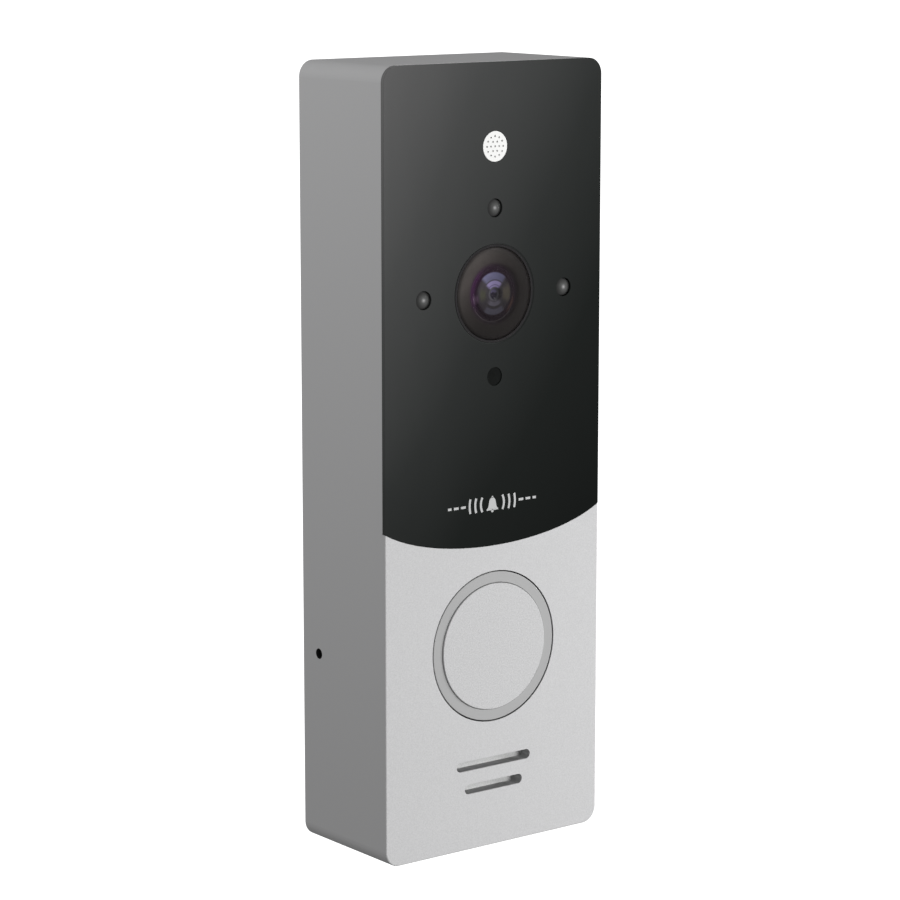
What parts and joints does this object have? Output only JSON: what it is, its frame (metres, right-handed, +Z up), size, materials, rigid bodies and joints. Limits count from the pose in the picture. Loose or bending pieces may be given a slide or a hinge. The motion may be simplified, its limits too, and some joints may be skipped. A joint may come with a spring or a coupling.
{
  "type": "video doorbell",
  "caption": "Surface-mounted video doorbell panel with camera window, infrared lights, lit call button, speaker slots and wall bracket.",
  "frame": {"origin": "middle of the wall bracket's back face, on the wall plane", "axes": "+Z up the panel, +Y into the wall (the front looks along -Y), +X to the right seen from the front"},
  "size_m": [0.05, 0.0266, 0.1458],
  "materials": {
    "case_metal": "sandblasted, clear anodised",
    "window": "gloss, dark tinted",
    "tape": "matt adhesive",
    "white_plastic": "satin",
    "black_plastic": "matt",
    "trim": "gloss black",
    "barrel": "black anodised",
    "lens_glass": "coated",
    "inner_glass": "violet coating",
    "filter_glass": "coated",
    "silicon": "sensor cover",
    "board_green": "solder mask",
    "led_clear": "clear lens",
    "led_dark": "dark lens",
    "rubber": "matt",
    "silicone": "satin",
    "foam": "foam",
    "capsule_metal": "satin",
    "button_metal": "sandblasted, clear anodised",
    "ring_plastic": "translucent, smooth",
    "membrane": "fine woven",
    "cone_paper": "pressed pulp",
    "copper": "enamelled",
    "steel": "zinc plated",
    "chip": "matt",
    "ferrite": "matt",
    "can": "sleeved",
    "relay_blue": "satin",
    "terminal_green": "satin",
    "trimmer_blue": "satin",
    "rotor": "machined",
    "ribbon": "satin",
    "lead_red": "satin",
    "screw": "plated",
    "cover_plastic": "textured"
  },
  "bodies": {
    "panel": {"front_housing": "case_metal", "camera_window": "window", "window_tape": "tape", "mic_grille": "white_plastic", "lens_trim_ring": "trim", "front_lens": "lens_glass", "lens_barrel": "barrel", "inner_lens": "inner_glass", "lens_iris": "black_plastic", "rear_lens": "inner_glass", "lens_holder": "black_plastic", "filter_coil": "copper", "image_sensor": "silicon", "camera_board": "board_green", "ir_board": "board_green", "light_sensor": "led_dark", "mic_boot": "rubber", "mic_capsule": "capsule_metal", "mic_leads": "lead_red", "button_guide": "white_plastic", "button_seal": "silicone", "switch_body": "black_plastic", "ring_leds": "led_clear", "speaker_membrane": "membrane", "speaker_gasket": "foam", "speaker_frame": "black_plastic", "speaker_surround": "rubber", "speaker_cone": "cone_paper", "voice_coil": "copper", "speaker_magnet": "steel", "speaker_leads": "lead_red", "main_board": "board_green", "processor": "chip", "memory_chip": "chip", "power_inductor": "ferrite", "capacitors": "can", "lock_relay": "relay_blue", "terminal_block": "terminal_green", "trimmer_body": "trimmer_blue", "ribbon_sockets": "white_plastic", "camera_ribbon": "ribbon", "ir_board_screws": "screw", "camera_board_screws": "screw", "main_board_screws": "screw", "rear_gasket": "rubber", "rear_cover": "cover_plastic", "rear_cover_screws": "screw", "wall_bracket": "steel", "lock_screw": "screw", "ir_led_left": "led_clear", "ir_led_right": "led_clear", "ir_led_top": "led_clear"},
    "call_button": {"button_disc": "button_metal", "light_ring": "ring_plastic", "button_carrier": "white_plastic"},
    "switch_plunger": {"switch_plunger": "white_plastic"},
    "volume_rotor": {"trimmer_rotor": "rotor"},
    "filter_carriage": {"filter_carriage": "black_plastic", "infrared_filter": "filter_glass", "clear_filter": "filter_glass"}
  },
  "joints": [
    {"name": "call_button_press", "type": "slide", "parent": "panel", "child": "call_button", "axis": [0, 1, 0], "range_m": [0, 0.0008], "stiffness_N_per_m": 1500, "springref_m": -0.0008},
    {"name": "switch_stroke", "type": "slide", "parent": "panel", "child": "switch_plunger", "axis": [0, 1, 0], "range_m": [0, 0.0008]},
    {"name": "volume_turn", "type": "hinge", "parent": "panel", "child": "volume_rotor", "pos_m": [-0.0202, -0.0051, -0.0365], "axis": [-1, 0, 0], "range_deg": [-135, 135]},
    {"name": "filter_shift", "type": "slide", "parent": "panel", "child": "filter_carriage", "axis": [1, 0, 0], "range_m": [0, 0.0072]}
  ],
  "couplings": [
    {"joint": "switch_stroke", "follows": "call_button_press", "ratio": 1}
  ]
}
